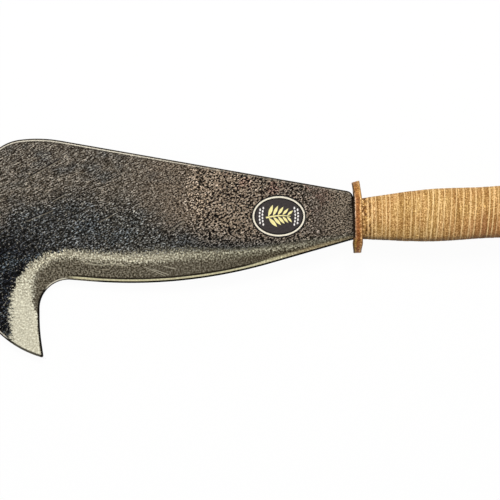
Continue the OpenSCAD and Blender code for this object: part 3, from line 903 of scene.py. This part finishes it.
def rim_material():
    """Thick burnished leather: reddish rim between two paler edges that are partly painted highlight, and
    darker shoulders of painted shade.
    """
    s = Shader("rim_leather")
    skin, depth, reach = s.vector("skin"), s.number("depth"), s.number("reach")
    y = s.split(skin)[1]
    streak = s.noise(s.stretch(skin, (2.2, 0.2, 0.2)), 1, 5, 0.6)
    spots = s.noise(skin, 0.8, 4, 0.6)
    place = s.plus(depth, s.times_plus(spots, 0.24, -0.12))
    # Across the rim: paler edges, partly burnished and partly painted highlight, round a reddish middle,
    # with darker shoulders of painted shade
    rim = s.stops(place, [
        (0.0, (150, 112, 74)), (0.07, (216, 178, 142)), (0.16, (188, 138, 92)), (0.28, (158, 101, 51)),
        (0.58, (142, 87, 41)), (0.72, (188, 137, 78)), (0.84, (234, 186, 122)), (0.97, (124, 86, 42)),
    ])
    low = s.ramp(y, 8, -8)
    rim = s.mix(s.times(low, s.ramp(streak, 0.35, 0.6, 0.15, 0.65)), rim, (116, 62, 28))
    rim = s.mix(s.ramp(y, 12, 20, 0, 0.55), rim, (156, 112, 56))
    # Beyond the blade the guard's edge on that side gets painted shade, and is yellow below the heel
    at_blade = s.number("next_to_blade")
    below = s.times(s.ramp(y, -12, -15), at_blade)
    rim = s.mix(s.times(below, s.ramp(depth, 0.42, 0.3, 0, 0.9)), rim, (166, 128, 62))
    beyond = s.math("MAXIMUM", s.times(s.ramp(y, 15, 18), at_blade), below)
    rim = s.mix(s.times(beyond, s.ramp(depth, 0.24, 0.14, 0, 0.85)), rim, (66, 44, 20))
    pores = s.noise(skin, 2.4, 3, 0.6)
    face = s.mix(s.ramp(spots, 0.3, 0.7), (150, 106, 60), (172, 126, 76))
    face = s.lit(face, s.speckle(pores, 1.2))
    # Painted shadow: the guard's face darkens round the heel, where it meets the blade
    wander = s.times_plus(s.noise(skin, 0.16, 4, 0.6), 14, -7)
    painted_shadow = s.band(s.plus(y, wander), -11.5, 15.5, 4)
    inner = s.ramp(s.times_plus(wander, 0.03, reach), 1, 0.72, 0.35, 0.94)
    painted_shadow = s.times(painted_shadow, inner)
    painted_shadow = s.times(s.times(painted_shadow, at_blade), s.ramp(depth, 0.5, 0.1))
    face = s.mix(painted_shadow, face, (22, 13, 8))
    colour = s.mix(s.ramp(reach, 0.93, 0.97), face, rim)
    colour = s.grain(colour, spots, s.ramp(reach, 0.86, 0.96, 0.7, 4.2), LEATHER_TINT)
    rough = s.ramp(spots, 0.3, 0.7, 0.5, 0.7)
    normal = s.bump(s.plus(streak, spots), 0.5, 0.3)
    return s.finish(Base_Color=colour, Roughness=rough, Specular_IOR_Level=0.15, Normal=normal)


def make_plate(steel):
    """The oval end plate, with a softened rim and a round hole for the stub."""
    oval = oval_ring(GRIP_OVAL)
    hole = oval_ring(1.0) * (TANG_T * STUB_SHARE / 2 + TANG_CLEAR)
    # Places in its thickness, and how far the rim is drawn in there
    profile = [(0.0, 0.15), (0.15, 0.0), (PLATE_T - 0.6, 0.0), (PLATE_T - 0.2, 0.2), (PLATE_T, 0.6)]
    rings = [(at, oval * (PLATE_D / 2 - inset)) for at, inset in profile] + [(PLATE_T, hole), (0.0, hole)]
    rows = [np.column_stack([np.full(TURNS, PLATE_X + at), ring]) for at, ring in rings]
    points, faces = washer_mesh(rows)
    build("end_plate_steel", points, faces, [steel], "end_plate", {"skin": points})


def plate_material():
    """Plain plate with turning marks, a little rust and wear."""
    s = Shader("plate_steel")
    skin = s.vector("skin")
    spots = s.noise(skin, 0.35, 5, 0.6)
    marks = s.noise(s.stretch(skin, (1, 0.25, 4)), 1, 4)
    colour = s.mix(s.ramp(marks, 0.3, 0.7), (126, 122, 113), (168, 164, 152))
    colour = s.mix(s.ramp(spots, 0.5, 0.72, 0, 0.6), colour, (92, 72, 54))
    rough = s.ramp(spots, 0.3, 0.7, 0.32, 0.55)
    return s.finish(Base_Color=colour, Metallic=0.7, Roughness=rough, Normal=s.bump(marks, 0.15, 0.1))


def oval_loop(middle, half_long, half_short, count):
    """Points round an oval of the label's print."""
    turns = [2 * math.pi * k / count for k in range(count)]
    return [(middle[0] + half_long * math.cos(a), middle[1] + half_short * math.sin(a)) for a in turns]


def leaf_loop(foot, turn, length, width):
    """A pointed leaf that starts at its foot."""
    way = heading(turn)
    steps = [k / 9 for k in range(10)]

    def rim(t, side):
        return foot + way * length * t + turned_left(way) * side * width / 2 * math.sin(math.pi * t)

    right = [rim(t, -1) for t in steps]
    left = [rim(t, 1) for t in steps[1:-1]]
    return [tuple(p) for p in right + left[::-1]]


def stem_place(t):
    """A place on the sprig's curved stem, from its foot at 0 to its end at 1."""
    foot, run, rise, sweep = (-8.6, -0.9), 16.5, 1.4, 2.4
    return np.add(foot, (run * t, rise * math.sin(sweep * t)))


def label_loops():
    """The label's print, each a closed loop with its ink; later ones lie over earlier ones."""
    half_l, half_h = LABEL_L / 2, LABEL_H / 2
    loops = []
    for inset, ink in ((0.0, "black"), (0.95, "cream"), (2.05, "black"), (2.95, "field")):
        loops.append((oval_loop((0, 0), half_l - inset, half_h - inset, 120), ink))
    line = [stem_place(k / 24) for k in range(25)]
    thick = np.linspace(0.55, 0.2, len(line))
    stem = list(offset_line(np.array(line), -thick)) + list(offset_line(np.array(line), thick))[::-1]
    loops.append(([tuple(p) for p in stem], "yellow"))
    # Pairs of leaves, each smaller than the one before
    for k in range(5):
        t = 0.1 + 0.19 * k
        lean, length, width = 58 - 3 * k, 8.4 - 0.85 * k, 2.3 - 0.2 * k
        way = stem_place(t + 0.01) - stem_place(t - 0.01)
        turn = math.degrees(math.atan2(way[1], way[0]))
        for side in (-1, 1):
            foot = stem_place(t) + turned_left(way / np.linalg.norm(way)) * side * 0.4
            loops.append((leaf_loop(foot, turn + side * lean, length, width), "yellow"))
    # Columns of small ovals on either side of the sprig
    for side in (-1, 1):
        for column, count in ((12.9, 5), (11.0, 6)):
            for k in range(count):
                rise = 2.2 * (k - (count - 1) / 2)
                middle = (side * (column - 0.02 * rise * rise), rise)
                loops.append((oval_loop(middle, 0.55, 0.85, 14), "white"))
    return loops


def make_label(inks):
    """The oval sticker on the upper cheek, with its print."""
    loops = label_loops()
    corners, rings = [], []
    for loop, _ in loops:
        rings.append(list(range(len(corners), len(corners) + len(loop))))
        corners += [Vector(p) for p in loop]
    found = delaunay_2d_cdt(corners, [], rings, 1, 1e-4)
    flat = np.array([tuple(p) for p in found[0]])
    names = list(inks)
    faces = [list(f) for f in found[2]]
    picks = [names.index(loops[max(over)][1]) for over in found[5]]
    turn = heading(LABEL_TURN)
    on_blade = flat[:, :1] * turn + flat[:, 1:] * turned_left(turn) + (-LABEL_AT, LABEL_UP)
    cheek = half_t(on_blade[:, 0])
    n = len(flat)
    points = np.concatenate([np.column_stack([on_blade, z]) for z in (cheek + LABEL_T * 0.98, cheek)])
    sides = rim_quads(faces, n)
    under = [[i + n for i in reversed(f)] for f in faces]
    picks = picks + [names.index("black")] * len(sides) + [names.index("cream")] * len(under)
    values = {"skin": np.column_stack([np.tile(flat, (2, 1)), np.zeros(2 * n)])}
    faces = faces + sides + under
    build("label_sticker", points, faces, list(inks.values()), "label", values, picks)


def ink_material(name, low, high):
    """Printed paper under varnish, mottled and lightly scuffed."""
    s = Shader("label_" + name)
    skin = s.vector("skin")
    mottle = s.noise(skin, 0.9, 5, 0.65)
    scuff = s.noise(s.along(skin, 35, 6, 0.25), 1, 2)
    colour = s.mix(s.ramp(mottle, 0.3, 0.7), low, high)
    colour = s.mix(s.ramp(scuff, 0.66, 0.76, 0, 0.35), colour, (150, 142, 128))
    rough = s.ramp(mottle, 0.3, 0.7, 0.4, 0.55)
    normal = s.bump(mottle, 0.1, 0.05)
    return s.finish(Base_Color=colour, Roughness=rough, Specular_IOR_Level=0.15, Normal=normal)


make_blade(steel_material())
dice = np.random.default_rng(7)
GRIP = grip_material()
for index in range(WASHER_COUNT):
    make_washer(index, GRIP, dice)
RIM = rim_material()
# The guard sits at the blade and takes its painted shade and shadow
make_rim_washer("guard_leather", "guard_washer", 0.0, GUARD_D, GUARD_T, GUARD_RISE, RIM, seed=3,
                bend=guard_bend, slant=1.3, at_blade=1.0)
make_rim_washer("pommel_leather", "pommel_washer", POMMEL_X, POMMEL_D, POMMEL_T, 0.0, RIM, seed=8,
                bend=pommel_bend)
make_plate(plate_material())
INKS = {
    "black": ((8, 6, 5), (18, 15, 14)), "cream": ((216, 208, 188), (238, 232, 216)),
    "field": ((44, 39, 40), (60, 54, 54)), "yellow": ((226, 214, 140), (246, 238, 178)),
    "white": ((222, 216, 212), (246, 244, 242)),
}
make_label({name: ink_material(name, *shades) for name, shades in INKS.items()})

scene = bpy.context.scene
scene.view_settings.view_transform = "Standard"

# Stage: a white floor, 6 m square, that keeps a faint shadow
floor_mesh = bpy.data.meshes.new("floor")
floor_mesh.from_pydata([(-3, -3, 0), (3, -3, 0), (3, 3, 0), (-3, 3, 0)], [], [(0, 1, 2, 3)])
floor = bpy.data.objects.new("floor", floor_mesh)
scene.collection.objects.link(floor)
ground = Shader("white_floor")
paths = ground.tree.nodes.new("ShaderNodeLightPath")
seen = ground.math("MAXIMUM", paths.outputs["Is Camera Ray"], paths.outputs["Is Glossy Ray"])
seen = ground.math("MAXIMUM", seen, paths.outputs["Is Transmission Ray"])
glow = ground.node("Emission", {"Color": (1, 1, 1, 1), "Strength": 1.0})
# The rest of the floor's light shows the shadow
share = ground.times(seen, 0.96)
both = ground.node("MixShader", {0: share, 1: ground.surface.outputs[0], 2: glow})
ground.tree.links.new(both, ground.tree.nodes["Material Output"].inputs["Surface"])
ground.finish(Base_Color=(0.9, 0.9, 0.9, 1.0), Roughness=0.9)
floor_mesh.materials.append(ground.material)

world = bpy.data.worlds.new("studio")
scene.world = world
world.use_nodes = True
sky = world.node_tree.nodes["Background"].inputs
sky["Color"].default_value = (1.0, 0.99, 0.97, 1.0)
sky["Strength"].default_value = 0.4


def lamp(name, place, size, watts, colour):
    """A square light that faces the tool."""
    data = bpy.data.lights.new(name, "AREA")
    data.size, data.energy, data.color = size, watts, colour
    made = bpy.data.objects.new(name, data)
    made.location = place
    made.rotation_euler = (-Vector(place)).to_track_quat("-Z", "Y").to_euler()
    scene.collection.objects.link(made)


lamp("key", (0.05, 0.55, 1.0), 0.4, 10.0, (1.0, 0.98, 0.95))
lamp("fill", (-0.8, -0.5, 0.9), 0.8, 2.0, (0.95, 0.97, 1.0))

# Camera: square to the blade, turned so that the grip rises a little to the right
# Width of its view and its height in millimetres, its turn in degrees, and where it stands
VIEW_W, VIEW_H, VIEW_TURN = 335.0, 1600.0, -2.9
VIEW_AT = (-69.9, -17.11)
SENSOR = 36.0
lens = bpy.data.cameras.new("camera")
lens.sensor_width = SENSOR
lens.lens = SENSOR * VIEW_H / VIEW_W
camera = bpy.data.objects.new("camera", lens)
camera.location = to_row([[*VIEW_AT, VIEW_H]])[0]
turned = Matrix.Rotation(-TILT, 3, "Y") @ Matrix.Rotation(math.radians(VIEW_TURN), 3, "Z")
camera.rotation_euler = turned.to_euler()
scene.collection.objects.link(camera)
scene.camera = camera
